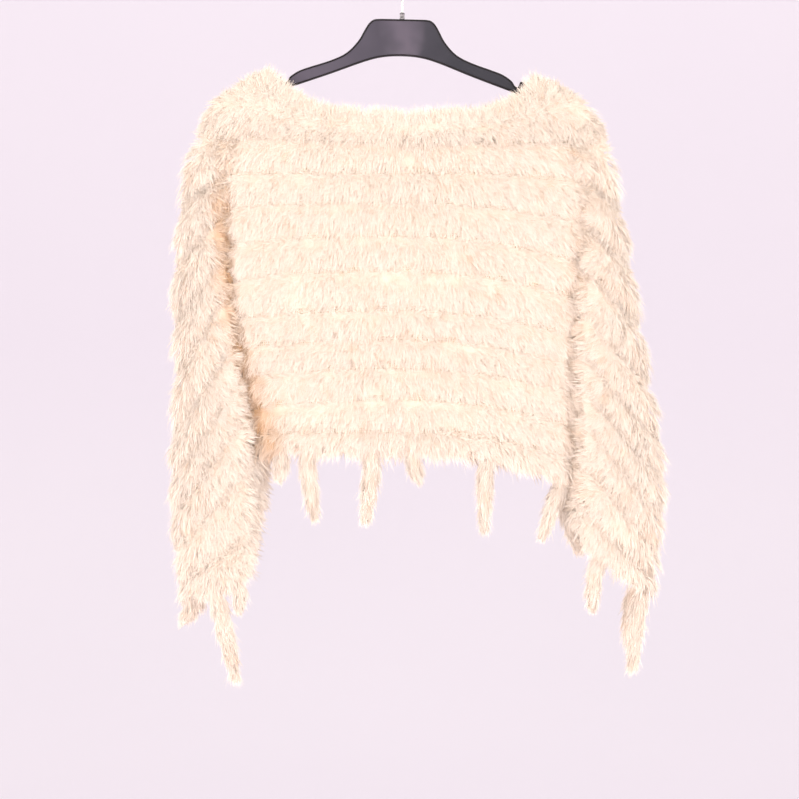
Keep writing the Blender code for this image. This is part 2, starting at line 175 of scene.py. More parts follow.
relief = add_node(
    satin_polypropylene, "ShaderNodeBump", {"Strength": 0.12, "Distance": 0.2 * MM},
    {"Height": grain.outputs["Fac"]},
)
feed(satin_polypropylene, skin.outputs[2], shader, "Base Color")
feed(satin_polypropylene, polish.outputs["Result"], shader, "Roughness")
feed(satin_polypropylene, relief.outputs["Normal"], shader, "Normal")
shader.inputs["IOR"].default_value = 1.49
shader.inputs["Specular IOR Level"].default_value = 0.2

mirrored = rounded(HALF_OUTLINE + tuple((-x, drop) for x, drop in reversed(HALF_OUTLINE[1:-1])), 4)
outline = mirrored * (MM, -MM)
edge_way = np.roll(outline, -1, axis=0) - np.roll(outline, 1, axis=0)
inward = np.stack((edge_way[:, 1], -edge_way[:, 0]), -1) / np.linalg.norm(edge_way, axis=1, keepdims=True)


def closed_curve(points, height):
    """A closed curve through points of the hanger's outline, at a height above its middle plane."""
    bpy.ops.object.select_all(action="DESELECT")
    bpy.ops.curve.primitive_bezier_circle_add()
    curve = bpy.context.object
    curve.data.splines.clear()
    spline = curve.data.splines.new("POLY")
    spline.points.add(len(points) - 1)
    for point, (x, y) in zip(spline.points, points):
        point.co = (x, y, height, 1)
    spline.use_cyclic_u = True
    return curve


moulding = closed_curve(outline, 0)
moulding.data.dimensions = "2D"
moulding.data.fill_mode = "BOTH"
moulding.data.extrude = HANGER_THICKNESS / 2 - HANGER_EDGE
moulding.data.bevel_depth = HANGER_EDGE
moulding.data.bevel_resolution = 2
moulding.data.offset = -HANGER_EDGE
bpy.ops.object.convert(target="MESH")
hanger = [bpy.context.object]
for height in (-HANGER_THICKNESS / 2, HANGER_THICKNESS / 2):
    rim = closed_curve(outline + inward * HANGER_RIM * 0.9, height)
    rim.data.dimensions = "3D"
    rim.data.bevel_depth = HANGER_RIM / 2
    rim.data.bevel_resolution = 3
    bpy.ops.object.convert(target="MESH")
    hanger.append(bpy.context.object)
bpy.ops.object.select_all(action="DESELECT")
for piece in hanger:
    piece.select_set(True)
hanger = hanger[0]
bpy.context.view_layer.objects.active = hanger
bpy.ops.object.join()
bpy.ops.object.shade_smooth_by_angle(angle=math.radians(35))
hanger.location = (0, 0, HANGER_TOP)
hanger.rotation_euler = (math.pi / 2, HANGER_TILT, 0)
finish_piece(hanger, "hanger_moulding", satin_polypropylene, "plastic", "hanger_body")


# Ferrule: a short turned collar of plated steel, pressed into the middle of the hanger's top edge, with a
# groove round it and a small shoulder under the wire.
FERRULE_RADIUS = 4 * MM
FERRULE_HEIGHT = 10 * MM

# Plated steel: dull grey on the collar, bright and smooth on the wire, with fine handling scratches.
plated_steel, shader = new_material("bright_plated_steel")
shader.inputs["Metallic"].default_value = 1.0
coords = add_node(plated_steel, "ShaderNodeTexCoord")
place = add_node(plated_steel, "ShaderNodeSeparateXYZ", links={"Vector": coords.outputs["Object"]})
collar_top = HANGER_TOP + FERRULE_HEIGHT + 0.3 * MM
on_wire = add_node(
    plated_steel, "ShaderNodeMapRange", {"From Min": collar_top, "From Max": collar_top + 0.3 * MM},
    {"Value": place.outputs["Z"]},
)
plating = add_node(
    plated_steel, "ShaderNodeMix", links={"Factor": on_wire.outputs["Result"]}, data_type="RGBA"
)
plating.inputs[6].default_value = linear("#7c787c")
plating.inputs[7].default_value = linear("#dcdcd8")
feed(plated_steel, plating.outputs[2], shader, "Base Color")
wipes = add_node(
    plated_steel, "ShaderNodeTexNoise", {"Scale": 1 / (1.5 * MM), "Detail": 4.0},
    {"Vector": coords.outputs["Object"]},
)
dulled = add_node(
    plated_steel, "ShaderNodeMapRange", {"To Min": 0.16, "To Max": 0.34}, {"Value": wipes.outputs["Fac"]}
)
feed(plated_steel, dulled.outputs["Result"], shader, "Roughness")

bpy.ops.object.select_all(action="DESELECT")
bpy.ops.mesh.primitive_cylinder_add(vertices=48, radius=FERRULE_RADIUS, depth=FERRULE_HEIGHT)
ferrule = bpy.context.object
bpy.ops.object.mode_set(mode="EDIT")
for height in (-1.2 * MM, 1.2 * MM, 3.2 * MM):
    bpy.ops.mesh.select_all(action="SELECT")
    bpy.ops.mesh.bisect(plane_co=(0, 0, height), plane_no=(0, 0, 1))
bpy.ops.object.mode_set(mode="OBJECT")
for vertex in ferrule.data.vertices:
    if vertex.co.z > 4 * MM:
        vertex.co.xy *= 0.62
    elif abs(vertex.co.z) < 2 * MM:
        vertex.co.xy *= 0.86
for edge in ferrule.data.edges:
    ends = [ferrule.data.vertices[i].co for i in edge.vertices]
    edge.select = abs(ends[0].z - ends[1].z) < 0.01 * MM
bpy.ops.object.mode_set(mode="EDIT")
bpy.ops.mesh.select_mode(type="EDGE")
bpy.ops.mesh.bevel(offset=0.35 * MM, segments=2, affect="EDGES")
bpy.ops.object.mode_set(mode="OBJECT")
bpy.ops.object.shade_smooth_by_angle(angle=math.radians(40))
ferrule.location = (0, 0, HANGER_TOP + FERRULE_HEIGHT / 2 + 0.3 * MM)
ferrule.rotation_euler = (0, HANGER_TILT, 0)
finish_piece(ferrule, "ferrule_collar", plated_steel, "steel", "hanger_ferrule")


# Hook: a bright steel wire that rises from the ferrule, swings out and bends over the rail. It is turned
# in the ferrule, and its end is cut off square and rounded.
HOOK_WIRE = 3 * MM
HOOK_RADIUS = 18 * MM
HOOK_START, HOOK_END = math.radians(50), math.radians(245)


def mix(a, b, t):
    return a + (b - a) * t


bend_middle = Vector((0, 0, HOOK_WIRE / 2 - HOOK_RADIUS))
bend = [
    bend_middle + Vector((math.sin(angle), 0, -math.cos(angle))) * HOOK_RADIUS
    for angle in np.linspace(HOOK_START, HOOK_END, 45)
]
foot = Vector((0, 0, HANGER_TOP + FERRULE_HEIGHT + 0.6 * MM))
meet = bend[0]
arrive = meet - Vector((math.cos(HOOK_START), 0, math.sin(HOOK_START))) * HOOK_RADIUS * 0.4
stem_top = Vector((0, 0, meet.z - HOOK_RADIUS))
leave = stem_top + Vector((0, 0, HOOK_RADIUS * 0.5))
wire = [foot]
for t in np.linspace(0, 1, 16)[:-1]:
    first, second, third = mix(stem_top, leave, t), mix(leave, arrive, t), mix(arrive, meet, t)
    wire.append(mix(mix(first, second, t), mix(second, third, t), t))
wire += bend
bpy.ops.object.select_all(action="DESELECT")
bpy.ops.curve.primitive_bezier_curve_add()
hook = bpy.context.object
hook.data.splines.clear()
spline = hook.data.splines.new("POLY")
spline.points.add(len(wire) - 1)
for point, place in zip(spline.points, wire):
    point.co = (*place, 1)
hook.data.dimensions = "3D"
hook.data.bevel_depth = HOOK_WIRE / 2
hook.data.bevel_resolution = 5
hook.data.use_fill_caps = True
bpy.ops.object.convert(target="MESH")
bpy.ops.object.shade_smooth_by_angle(angle=math.radians(50))
finish_piece(hook, "hook_wire", plated_steel, "steel", "hook")


# Knitted ground: two panels of fine openwork cotton knit, front and back, joined at the shoulders and down
# the sides. The neck edge lies on the hanger; each side drops into a crease and swings out to the seam.
KNIT_WALL = 2.5 * MM
NECK_DROP = 153  # centre of the neck edge below the hanger's top edge, in millimetres
PANEL_DROP = 492  # from the neck edge to the hem at the centre
STITCH = 3.6  # spacing of the stitches, in millimetres
# The cut from neck to hem, by share of the panel's drop: half widths from the centre line and drops below
# the hanger's top edge, in millimetres, at the flat middle's end, the crease, the side's inner edge and
# the seam. "sag" is the power of a row's slope across the flat middle.
CUT_SHARES = np.array((0, 0.020, 0.040, 0.063, 0.154, 0.244, 0.453, 0.665, 0.848, 1))
CUT_NAMES = "sag front_x front_drop fold_x fold_drop crest_x crest_drop edge_x edge_drop".split()
LEFT_CUT = np.array((
    (4, 188, 106, 196, 99, 201, 92.65, 206, 95.02),
    (4, 203, 118, 217, 118, 228, 117, 243, 114),
    (3, 215, 143, 234, 143, 250, 142, 277, 134),
    (2, 228, 173, 249, 174, 267, 175, 295, 171),
    (2, 246, 230, 267, 231, 284, 240, 318, 280),
    (2, 242, 279, 264, 282, 282, 300, 327, 366),
    (2, 240, 387, 261, 391, 272, 420, 328, 531),
    (2, 225, 490, 246, 495, 257, 555, 331, 678),
    (2, 207, 580, 229, 588, 243, 680, 327, 790),
    (2, 194, 642, 224, 670, 242, 840, 315, 868),
))
RIGHT_CUT = np.array((
    (6, 188, 114, 196, 107, 201, 103.16, 206, 106.85),
    (6, 203, 126, 216, 125, 226, 123, 240, 119),
    (4, 217, 152, 234, 152, 249, 150, 273, 139),
    (3, 234, 181, 254, 183, 268, 184, 294, 177),
    (2, 253, 239, 275, 243, 288, 252, 315, 285),
    (2, 249, 300, 273, 306, 289, 322, 327, 366),
    (2, 240, 412, 262, 420, 282, 445, 357, 543),
    (2, 238, 513, 260, 524, 281, 560, 378, 681),
    (2, 237, 604, 261, 620, 282, 672, 372, 790),
    (2, 231, 684, 257, 712, 278, 786, 363, 855),
))
# How far the front stands out from the middle plane, in millimetres
DEPTH_NAMES = "centre front fold_left fold_right crest".split()
DEPTHS = np.array((
    (24, 10, 9, 9, 7),
    (25, 17, 16, 16, 14),
    (26, 22, 19, 19, 17),
    (28, 26, 20, 21, 19),
    (30, 31, 17, 20, 23),
    (31, 33, 15, 19, 28),
    (34, 36, 12, 17, 40),
    (37, 38, 11, 15, 48),
    (39, 40, 11, 14, 51),
    (41, 42, 12, 14, 50),
))
FACES = {"front": (-1, 1.0, 1.0), "back": (1, 0.9, 0.65)}  # way it faces, depth and crease against the front
# Columns from the centre line to the crease's lip, its bottom and its far end, and to the side seam
LIP, FOLD, CREST, SEAM = 4, 6, 8, 13


def ease(t):
    return t * t * (3 - 2 * t)


def unit(vectors):
    return vectors / np.maximum(np.linalg.norm(vectors, axis=-1, keepdims=True), 1e-9)


def along_cut(values, share):
    """A table's column at any share, on a smooth curve through its rows."""
    rows = np.arange(len(CUT_SHARES))
    low, high = np.maximum(rows - 1, 0), np.minimum(rows + 1, rows[-1])
    slope = (values[high] - values[low]) / (CUT_SHARES[high] - CUT_SHARES[low])
    at = np.clip(np.searchsorted(CUT_SHARES, share, side="right") - 1, 0, rows[-1] - 1)
    span = CUT_SHARES[at + 1] - CUT_SHARES[at]
    t = (share - CUT_SHARES[at]) / span
    middle = mix(values[at], values[at + 1], ease(t))
    return middle + slope[at] * span * t * (1 - t) ** 2 - slope[at + 1] * span * t * t * (1 - t)


def cloth(face, column, share):
    """Points of a panel's middle surface, by column from seam to seam and share from neck to hem."""
    toward, deep, crease = FACES[face]
    column, share = np.broadcast_arrays(np.asarray(column, float), np.asarray(share, float))
    left, c = column < 0, np.abs(column)
    cut = {
        name: np.where(left, along_cut(LEFT_CUT[:, i], share), along_cut(RIGHT_CUT[:, i], share))
        for i, name in enumerate(CUT_NAMES)
    }
    out = {name: along_cut(DEPTHS[:, i], share) * deep for i, name in enumerate(DEPTH_NAMES)}
    fold_y = mix(out["front"], np.where(left, out["fold_left"], out["fold_right"]), crease)
    flat = np.clip(c / LIP, 0, 1) ** 0.7
    into = np.clip((c - LIP) / (FOLD - LIP), 0, 1)
    back_out = np.clip((c - FOLD) / (CREST - FOLD), 0, 1)
    turn = np.pi / 2 * np.clip((c - CREST) / (SEAM - CREST), 0, 1)
    zones = [c < LIP, c < FOLD, c < CREST]
    x = np.select(zones, [
        cut["front_x"] * flat,
        mix(cut["front_x"], cut["fold_x"], into),
        mix(cut["fold_x"], cut["crest_x"], back_out),
    ], mix(cut["crest_x"], cut["edge_x"], np.sin(turn)))
    y = np.select(zones, [
        mix(out["centre"], out["front"], ease(flat)),
        mix(out["front"], fold_y, ease(into)),
        mix(fold_y, out["crest"], ease(back_out)),
    ], out["crest"] * np.cos(turn))
    drop = np.select(zones, [
        mix(NECK_DROP + share * PANEL_DROP, cut["front_drop"], flat ** cut["sag"]),
        mix(cut["front_drop"], cut["fold_drop"], into),
        mix(cut["fold_drop"], cut["crest_drop"], back_out),
    ], mix(cut["crest_drop"], cut["edge_drop"], np.sin(turn)))
    places = (np.where(left, -x, x), toward * np.maximum(y, 0.15), HANGER_TOP / MM - drop)
    return np.stack(places, axis=-1) * MM


def cloth_frame(face, column, share):
    """A panel's points with the ways along the row, down the panel and out of the cloth."""
    right, left = np.minimum(column + 0.06, SEAM), np.maximum(column - 0.06, -SEAM)
    below, above = np.minimum(share + 0.006, 1), np.maximum(share - 0.006, 0)
    across = cloth(face, right, share) - cloth(face, left, share)
    down = cloth(face, column, below) - cloth(face, column, above)
    outward = np.cross(across, down) * FACES[face][0]
    outward[..., 1] *= np.where(np.abs(column) > SEAM - 0.05, 0, 1)
    return cloth(face, column, share), unit(across), unit(down), unit(outward)


# Cotton yarn in an openwork stitch: cream, matt, with a hole between the loops that is painted a darker tan
# as painted shade in the opening. Drawn on the panel's own map of stitches, one loop to a unit.
cotton_knit, shader = new_material("cream_openwork_cotton_knit")
stitches = add_node(cotton_knit, "ShaderNodeUVMap", uv_map="stitches")
loops = add_node(cotton_knit, "ShaderNodeSeparateXYZ", links={"Vector": stitches.outputs["UV"]})
waves = []
for way in ("X", "Y"):
    turned = add_node(
        cotton_knit, "ShaderNodeMath", {1: math.pi}, {0: loops.outputs[way]}, operation="MULTIPLY"
    )
    wave = add_node(cotton_knit, "ShaderNodeMath", links={0: turned.outputs[0]}, operation="SINE")
    waves.append(add_node(cotton_knit, "ShaderNodeMath", links={0: wave.outputs[0]}, operation="ABSOLUTE"))
hole = add_node(
    cotton_knit, "ShaderNodeMath", links={0: waves[0].outputs[0], 1: waves[1].outputs[0]},
    operation="MULTIPLY",
)
yarn = add_node(
    cotton_knit, "ShaderNodeMapRange", {"From Min": 0.45, "From Max": 0.85}, {"Value": hole.outputs[0]}
)
# Painted shade: the darker tan fills the holes between the loops, where shade falls into the openings.
tone = add_node(cotton_knit, "ShaderNodeMix", links={"Factor": yarn.outputs["Result"]}, data_type="RGBA")
tone.inputs[6].default_value = linear("#fbeedb")
tone.inputs[7].default_value = linear("#e2cdb2")
relief = add_node(
    cotton_knit, "ShaderNodeBump", {"Strength": 0.9, "Distance": 1.2 * MM},
    {"Height": yarn.outputs["Result"]}, invert=True,
)
feed(cotton_knit, tone.outputs[2], shader, "Base Color")
feed(cotton_knit, relief.outputs["Normal"], shader, "Normal")
shader.inputs["Roughness"].default_value = 0.9
shader.inputs["Specular IOR Level"].default_value = 0.2


def array_mesh(name, points, faces):
    """A mesh object from arrays of points and of faces with equal corners."""
    mesh = bpy.data.meshes.new(name)
    mesh.vertices.add(len(points))
    mesh.vertices.foreach_set("co", np.ascontiguousarray(points, np.float32).ravel())
    corners = faces.shape[1]
    mesh.loops.add(faces.size)
    mesh.loops.foreach_set("vertex_index", np.ascontiguousarray(faces, np.int32).ravel())
    mesh.polygons.add(len(faces))
    mesh.polygons.foreach_set("loop_start", np.arange(len(faces), dtype=np.int32) * corners)
    mesh.update(calc_edges=True)
    mesh.shade_smooth()
    piece = bpy.data.objects.new(name, mesh)
    bpy.context.scene.collection.objects.link(piece)
    return piece


def grid_faces(lines, columns, closed=False):
    """Quads of a grid of points; a closed one joins its last column to its first."""
    i, j = np.meshgrid(np.arange(lines - 1), np.arange(columns if closed else columns - 1), indexing="ij")
    k = (j + 1) % columns
    upper, lower = i * columns, (i + 1) * columns
    return np.stack((upper + j, upper + k, lower + k, lower + j), -1).reshape(-1, 4)


for face in FACES:
    columns = np.linspace(-SEAM, SEAM, 79)
    shares = np.linspace(0, 1, 61)
    points, _, _, outward = cloth_frame(face, columns[None, :], shares[:, None])
    lines, count = points.shape[:2]
    # Outer and inner faces of the wall, closed round the rim
    ring = np.concatenate((points + outward * KNIT_WALL / 2, (points - outward * KNIT_WALL / 2)[::-1]))
    faces = grid_faces(2 * lines, count)
    rim = np.arange(count - 1)
    last = (2 * lines - 1) * count
    faces = np.concatenate((faces, np.stack((rim + last, rim + last + 1, rim + 1, rim), -1)))
    ends = np.arange(lines - 1)
    for edge, order in ((0, 1), (count - 1, -1)):
        outer, inner = ends * count + edge, (2 * lines - 1 - ends) * count + edge
        side = np.stack((outer, outer + count, inner - count, inner), -1)
        faces = np.concatenate((faces, side[:, ::order]))
    panel = array_mesh(f"knit_{face}", ring.reshape(-1, 3), faces if face == "front" else faces[:, ::-1])
    run, fall = (
        np.cumsum(np.linalg.norm(np.diff(line, axis=0, prepend=line[:1]), axis=1)) / (STITCH * MM)
        for line in (points[lines // 2], points[:, count // 2])
    )
    outer_map = np.stack(np.meshgrid(run, fall), -1)
    stitched = np.concatenate((outer_map, outer_map[::-1])).reshape(-1, 2)
    layer = panel.data.uv_layers.new(name="stitches")
    corner = np.empty(len(panel.data.loops), np.int32)
    panel.data.loops.foreach_get("vertex_index", corner)
    layer.data.foreach_set("uv", np.ascontiguousarray(stitched[corner], np.float32).ravel())
    bpy.ops.object.select_all(action="DESELECT")
    panel.select_set(True)
    bpy.context.view_layer.objects.active = panel
    bpy.ops.object.mode_set(mode="EDIT")
    bpy.ops.mesh.select_all(action="SELECT")
    bpy.ops.mesh.normals_make_consistent(inside=False)
    bpy.ops.object.mode_set(mode="OBJECT")
    bpy.ops.object.shade_smooth_by_angle(angle=math.radians(60))
    finish_piece(panel, f"knit_{face}", cotton_knit, "knit", f"{face}_knit")


# Fur rows: strips of rabbit pelt sewn to the knit one under the other, ten to a face, with a line of bare
# knit between them. Each has its dense undercoat and longer guard hair that lies down over the next row.
ROW_HEIGHTS = (45, 44, 51, 52, 60, 44, 42, 48, 48, 27)  # millimetres, at the centre
NECK_BAND = 31
BARE_KNIT = 9
HEM_MARGIN = 2
FUR_SEAT = KNIT_WALL / 2 + 0.3 * MM
PILE = 16 * MM  # height of the pile over the middle of a strip
UNDERCOAT = 0.5  # share of it that the dense undercoat fills
GUARD_HAIR = 24 * MM
CREASE_ENDS = (-690 * MM, -770 * MM)  # heights at which the left and right drapes hang clear of the front
HAIR_REACH = (-78 * MM, 73 * MM)  # in front and behind, as far as any hair stands out
HAIRS = {"front": 24000, "back": 11500}
HAIR_WIDTH = {"front": 0.8 * MM, "back": 1.15 * MM}
LOCK_HAIRS = 16

# Rabbit hair: ivory and soft, warmer and darker towards the skin, with a low sheen and no hard shine.
rabbit_fur, shader = new_material("ivory_rabbit_fur")
tip = add_node(rabbit_fur, "ShaderNodeAttribute", attribute_name="tip")
lock_tint_and_shade = add_node(rabbit_fur, "ShaderNodeAttribute", attribute_name="lock_tint_and_shade")
coords = add_node(rabbit_fur, "ShaderNodeTexCoord")
combed = add_node(
    rabbit_fur, "ShaderNodeMapping", {"Scale": (1 / (0.9 * MM), 1 / (0.9 * MM), 1 / (6 * MM))},
    {"Vector": coords.outputs["Object"]},
)
down_hair = add_node(
    rabbit_fur, "ShaderNodeTexNoise", {"Scale": 1.0, "Detail": 2.0}, {"Vector": combed.outputs[0]}
)
streaks = add_node(
    rabbit_fur, "ShaderNodeMapRange", {"From Min": 0.35, "From Max": 0.65, "To Max": 0.85},
    {"Value": down_hair.outputs["Fac"]},
)
paler = add_node(
    rabbit_fur, "ShaderNodeMath", links={0: tip.outputs["Fac"], 1: streaks.outputs["Result"]},
    operation="MAXIMUM",
)
length_tone = add_node(rabbit_fur, "ShaderNodeMix", links={"Factor": paler.outputs[0]}, data_type="RGBA")
length_tone.inputs[6].default_value = linear("#fcefe1")
length_tone.inputs[7].default_value = linear("#fdf2e8")
# Painted shade: the tan mixed in here is partly each lock's own slight tint at random, and partly painted
# shade in the creases and the undercoat.
tinted_and_shaded_tone = add_node(
    rabbit_fur, "ShaderNodeMix", links={"Factor": lock_tint_and_shade.outputs["Fac"], 6: length_tone.outputs[2]},
    data_type="RGBA",
)
tinted_and_shaded_tone.inputs[7].default_value = linear("#d8a366")
feed(rabbit_fur, tinted_and_shaded_tone.outputs[2], shader, "Base Color")
shader.inputs["Roughness"].default_value = 0.75
shader.inputs["Specular IOR Level"].default_value = 0.12
shader.inputs["Sheen Weight"].default_value = 0.25
shader.inputs["Sheen Roughness"].default_value = 0.5

rng = np.random.default_rng(2026)


def fur_share(column):
    """The pile's height against the rest: fluffed up in both creases."""
    away = np.abs(np.abs(column) - FOLD)
    return mix(1.7, 1.0, ease(np.clip((away - 0.6) / 1.5, 0, 1)))


def below_crease(column, place):
    """Nought beside the front, and one where the drapes hang clear below it."""
    return ease(np.clip((np.where(column < 0, *CREASE_ENDS) - place[..., 2]) / (50 * MM), 0, 1))


def painted_crease_shade(column, place):
    """How far the fur is painted a warm tan as painted shade in the creases, deepest in the left one."""
    middle = np.where(column < 0, np.interp(place[..., 2], (-690 * MM, -460 * MM), (5.2, 6.5)), FOLD)
    near = 1 - ease(np.clip((np.abs(np.abs(column) - middle) - 0.95) / 1.5, 0, 1))
    upper = 1 - below_crease(column, place)
    below_shoulder = np.interp(place[..., 2], (-360 * MM, -300 * MM), (1.0, 0.25))
    return near * upper * below_shoulder * np.where(column < 0, 0.65, 0.15)


def roll(over):
    """Height of a strip's rounded section, from its upper edge to its foot."""
    return np.interp(over, (0, 0.1, 0.28, 0.5, 0.75, 0.9, 1), (0.02, 0.35, 0.75, 1.0, 0.95, 0.6, 0.1))


def shown_side(face, outward):
    """The side from which fur is seen: its own face's, and the front along the seams."""
    seam = (np.abs(outward[..., :1]) > 0.45) & (face == "back")
    return np.where(seam, -1.0, 1.0) * np.array((0.0, FACES[face][0], 0.0))


def soften(face, outward):
    """Light soaks through fur at the garment's edges, so its shading leans towards the side that is seen."""
    before = shown_side(face, outward)
    toward = np.sum(outward * before, axis=-1, keepdims=True)
    return np.where(toward < -0.7, outward, unit(outward + before * (3.0 + np.maximum(-toward, 0))))


def grow(face, root, outward, flow, painted_shade, length, lift, lay, spread, gather, width):
    """Locks of tapering hairs, each rising from its root at an angle and lying down towards its tip."""
    locks, count = len(root), LOCK_HAIRS
    sideways = np.cross(outward, flow)
    heads = lambda values: np.repeat(values, count, axis=0)
    scatter = rng.normal(0, 1, (locks * count, 3))
    start = heads(root) + (heads(sideways) * scatter[:, :1] + heads(flow) * scatter[:, 1:2]) * spread
    strays = unit(heads(flow) + heads(sideways) * rng.normal(0, 0.34, (locks * count, 1)))
    up = heads(outward)
    rise = (heads(lift) + rng.normal(0, 0.10, locks * count))[:, None]
    settle = (heads(lay) + rng.normal(0, 0.08, locks * count))[:, None]
    far = (heads(length) * rng.uniform(0.45, 1.15, locks * count))[:, None]
    wild = rng.random((locks * count, 1)) < 0.06
    far = np.where(wild, far * 1.1, far)
    rise = np.where(wild, rise + 0.2, rise)
    first = unit(strays * np.cos(rise) + up * np.sin(rise))
    last = unit(strays * np.cos(settle) + up * np.sin(settle))
    half = start + far * (0.375 * first + 0.125 * last)
    end = start + far * (0.5 * first + 0.5 * last)
    middle_of = lambda places: heads(places.reshape(locks, count, 3).mean(axis=1))
    pull = np.where(wild, 0.2, 1.0) * gather
    half = mix(half, middle_of(half), 0.35 * pull)
    end = mix(end, middle_of(end), 0.6 * pull)
    turn = rng.uniform(-0.9, 0.9, (locks * count, 1))
    side = unit(np.cross(up, first))
    blade = (side * np.cos(turn) + up * np.sin(turn)) * width * np.where(wild, 0.5, 1.0)
    soft = soften(face, unit(up + first * 0.2))
    before = shown_side(face, unit(up + first * 0.2))
    facing = np.where(np.sum(soft * before, axis=1, keepdims=True) < -0.7, soft, before)
    points = np.stack((start, half - blade / 2, half + blade / 2, end), axis=1)
    points[..., 1] = np.clip(points[..., 1], *HAIR_REACH)
    corners = np.array(((0, 1, 2), (2, 1, 3)))
    at = points[:, corners]
    normal = np.cross(at[:, :, 1] - at[:, :, 0], at[:, :, 2] - at[:, :, 0])
    away = np.sum(normal * facing[:, None], axis=-1) < 0
    faces = np.arange(len(points))[:, None, None] * 4 + np.where(away[..., None], corners[:, ::-1], corners)
    faces = faces.reshape(-1, 3)
    tips = np.tile((0.0, 0.6, 0.6, 1.0), len(points))
    tints = heads(painted_shade + rng.beta(1.2, 14.0, locks)) + rng.normal(0, 0.05, len(points))
    tints = np.repeat(np.clip(tints, 0, 1), 4)
    return points.reshape(-1, 3), faces, tips, tints, np.repeat(soft, 4, axis=0)


def shell(points, outward, tints, tip=0.0):
    """A closed skin of lofted rings, as the undercoat of a piece."""
    rings, size = points.shape[:2]
    faces = grid_faces(rings, size, closed=True)
    faces = np.concatenate((faces[:, (0, 1, 2)], faces[:, (0, 2, 3)]))
    fan = np.arange(1, size - 1)
    start = np.stack((np.zeros_like(fan), fan + 1, fan), -1)
    finish = np.stack((np.zeros_like(fan), fan, fan + 1), -1) + (rings - 1) * size
    faces = np.concatenate((faces, start, finish))
    return points.reshape(-1, 3), faces, np.full(rings * size, tip), tints.ravel(), outward.reshape(-1, 3)


def fur_piece(name, node, parts):
    """Joins an undercoat and its hair in one piece."""
    starts = np.cumsum([0] + [len(part[0]) for part in parts[:-1]])
    points, tips, tints, soft = (np.concatenate([part[i] for part in parts]) for i in (0, 2, 3, 4))
    faces = np.concatenate([part[1] + start for part, start in zip(parts, starts)])
    piece = array_mesh(name, points, faces)
    for attribute, values in (("tip", tips), ("lock_tint_and_shade", tints)):
        made = piece.data.attributes.new(attribute, "FLOAT", "POINT")
        made.data.foreach_set("value", np.ascontiguousarray(values, np.float32))
    piece.data.normals_split_custom_set_from_vertices(unit(soft).tolist())
    return finish_piece(piece, name, rabbit_fur, "fur", node)


def lumps(column, across, seed):
    """Uneven fullness of the pile, in shares of its height."""
    phase = np.random.default_rng(seed).uniform(0, 6.28, 8)
    total = 0
    for i, (along, over) in enumerate(((2.3, 2), (4.1, -3), (7.7, 4), (13.0, -2))):
        total = total + np.sin(column * along + phase[i] + over * across + phase[i + 4]) / (i + 1.6)
    return 0.12 * total


seams = np.cumsum((NECK_BAND,) + ROW_HEIGHTS)
strip_starts = (seams[:-1] + BARE_KNIT / 2) / PANEL_DROP
strip_ends = np.append(seams[1:-1] - BARE_KNIT / 2, PANEL_DROP - HEM_MARGIN) / PANEL_DROP


def spread_columns(face, start, end, count):
    """Columns spread evenly over a strip's area."""
    at = np.linspace(-SEAM, SEAM, 600)
    top, foot = cloth(face, at, start), cloth(face, at, end)
    middle = (top + foot) / 2
    step = np.linalg.norm(np.gradient(middle, axis=0), axis=1) * np.linalg.norm(foot - top, axis=1)
    total = np.cumsum(step)
    return np.interp(rng.random(count) * total[-1], total, at)


def rolled(across, outward, over, full):
    """The way straight down the cloth, and the way out of a strip that swells like a roll."""
    straight_down = unit(np.cross(across, outward))
    straight_down = straight_down * -np.sign(straight_down[..., 2:])
    tilt = full * np.interp(over, (0, 0.5, 1), (-0.55, 0.0, 0.9))
    return straight_down, unit(outward + straight_down * tilt[..., None])


